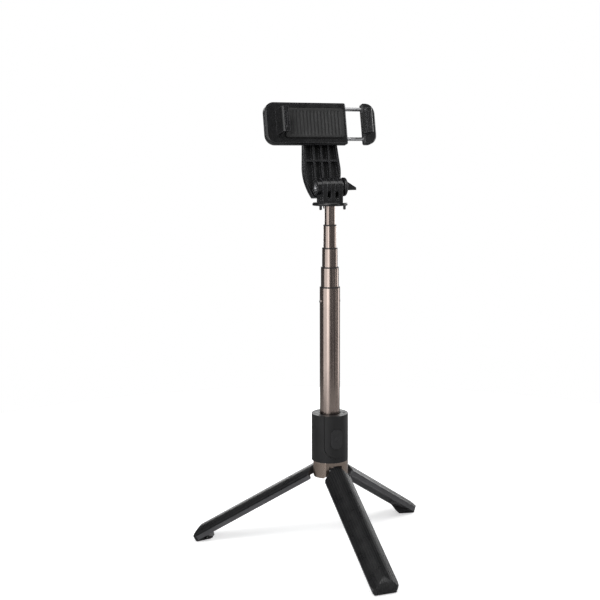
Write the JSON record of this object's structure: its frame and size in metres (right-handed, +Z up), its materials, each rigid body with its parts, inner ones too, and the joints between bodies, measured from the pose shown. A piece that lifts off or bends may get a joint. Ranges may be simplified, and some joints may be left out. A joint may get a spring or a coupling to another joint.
{
  "type": "selfie stick",
  "caption": "Selfie stick that opens into a table tripod, with folding grip legs, a telescopic pole, a pull-off shutter remote and a tilting, turning phone clamp.",
  "frame": {"origin": "on the floor under the pole's axis, in the plane of the three soles", "axes": "+Z up along the pole, -Y the front, where the remote and the phone's screen face, +X the thumb knob's and the sliding jaw's side"},
  "size_m": [0.2082, 0.1806, 0.3653],
  "materials": {
    "bronze": "satin anodised",
    "bronze_tube": "polished anodised",
    "black_matte": "fine matte moulding",
    "black_satin": "satin moulding",
    "leg_black": "satin ribbed moulding",
    "leg_grey": "satin moulding",
    "foot_rubber": "matte",
    "steel": "nickel plated",
    "collar_black": "acetal",
    "button_rubber": "matte",
    "circuit_board": "solder mask",
    "switch_plastic": "nylon",
    "cell_steel": "polished",
    "pad_rubber": "matte"
  },
  "bodies": {
    "base": {"hub": "bronze", "hub_screws": "steel", "handle_shell": "black_matte", "guide_sleeve": "collar_black", "leg_pin_front": "steel", "leg_pin_left": "steel", "leg_pin_right": "steel"},
    "leg_front": {"leg_shell_front": "leg_black", "leg_liner_front": "leg_grey", "leg_foot_front": "foot_rubber", "foot_pin_front": "steel"},
    "leg_left": {"leg_shell_left": "leg_black", "leg_liner_left": "leg_grey", "leg_foot_left": "foot_rubber", "foot_pin_left": "steel"},
    "leg_right": {"leg_shell_right": "leg_black", "leg_liner_right": "leg_grey", "leg_foot_right": "foot_rubber", "foot_pin_right": "steel"},
    "remote": {"remote_cover": "black_matte", "remote_base": "black_matte", "remote_board": "circuit_board", "remote_switch": "switch_plastic", "remote_cell": "cell_steel"},
    "shutter_button": {"remote_button": "button_rubber"},
    "pole_1": {"tube_1": "bronze_tube", "slide_bush_1": "collar_black", "collar_1": "collar_black", "stop_rivets": "steel"},
    "pole_2": {"tube_2": "bronze_tube", "slide_bush_2": "collar_black", "collar_2": "collar_black"},
    "pole_3": {"tube_3": "bronze_tube", "slide_bush_3": "collar_black", "collar_3": "collar_black"},
    "pole_4": {"tube_4": "bronze_tube", "slide_bush_4": "collar_black", "collar_4": "collar_black"},
    "head": {"tube_5": "bronze_tube", "slide_bush_5": "collar_black", "head_mount": "black_satin", "head_pin": "steel", "hinge_nut": "steel"},
    "knob": {"thumb_knob": "black_satin", "hinge_bolt": "steel", "knob_washer": "switch_plastic"},
    "tilt_arm": {"arm": "black_satin", "swivel_screw": "steel", "swivel_nut": "steel", "swivel_washer": "switch_plastic"},
    "clamp": {"clamp_body": "black_satin", "clamp_cover": "black_satin", "clamp_screws": "steel", "jaw_springs": "steel", "back_pad": "pad_rubber", "jaw_pad_left": "pad_rubber"},
    "sliding_jaw": {"jaw_slide": "black_satin", "guide_rods": "steel", "jaw_pad_right": "pad_rubber"}
  },
  "joints": [
    {"name": "leg_front_fold", "type": "hinge", "parent": "base", "child": "leg_front", "pos_m": [0, -0.0115, 0.06735], "axis": [-1, 0, 0], "range_deg": [-59.14, 0]},
    {"name": "leg_left_fold", "type": "hinge", "parent": "base", "child": "leg_left", "pos_m": [-0.00996, 0.00575, 0.06735], "axis": [0.5, 0.866, 0], "range_deg": [-59.14, 0]},
    {"name": "leg_right_fold", "type": "hinge", "parent": "base", "child": "leg_right", "pos_m": [0.00996, 0.00575, 0.06735], "axis": [0.5, -0.866, 0], "range_deg": [-59.14, 0]},
    {"name": "pole_1_slide", "type": "slide", "parent": "base", "child": "pole_1", "axis": [0, 0, 1], "range_m": [-0.107, 0]},
    {"name": "pole_2_slide", "type": "slide", "parent": "pole_1", "child": "pole_2", "axis": [0, 0, 1], "range_m": [-0.01485, 0.093]},
    {"name": "pole_3_slide", "type": "slide", "parent": "pole_2", "child": "pole_3", "axis": [0, 0, 1], "range_m": [-0.01435, 0.093]},
    {"name": "pole_4_slide", "type": "slide", "parent": "pole_3", "child": "pole_4", "axis": [0, 0, 1], "range_m": [-0.01735, 0.093]},
    {"name": "pole_5_slide", "type": "slide", "parent": "pole_4", "child": "head", "axis": [0, 0, 1], "range_m": [-0.0151, 0.093]},
    {"name": "knob_turn", "type": "hinge", "parent": "head", "child": "knob", "pos_m": [0.0118, 0, 0.2981], "axis": [1, 0, 0], "continuous": true},
    {"name": "arm_tilt", "type": "hinge", "parent": "head", "child": "tilt_arm", "pos_m": [0, 0, 0.2981], "axis": [1, 0, 0], "range_deg": [-8, 150]},
    {"name": "clamp_turn", "type": "hinge", "parent": "tilt_arm", "child": "clamp", "pos_m": [0, 0.02339, 0.3476], "axis": [0, -0.9778, 0.2096], "continuous": true},
    {"name": "jaw_open", "type": "slide", "parent": "clamp", "child": "sliding_jaw", "axis": [1, 0, 0], "range_m": [-0.0139, 0.018], "stiffness_N_per_m": 60, "springref_m": -0.02},
    {"name": "remote_pull", "type": "slide", "parent": "base", "child": "remote", "axis": [0, -1, 0], "range_m": [0, 0.03]},
    {"name": "button_press", "type": "slide", "parent": "remote", "child": "shutter_button", "axis": [0, 1, 0], "range_m": [0, 0.0005], "stiffness_N_per_m": 500, "springref_m": -0.0004}
  ]
}
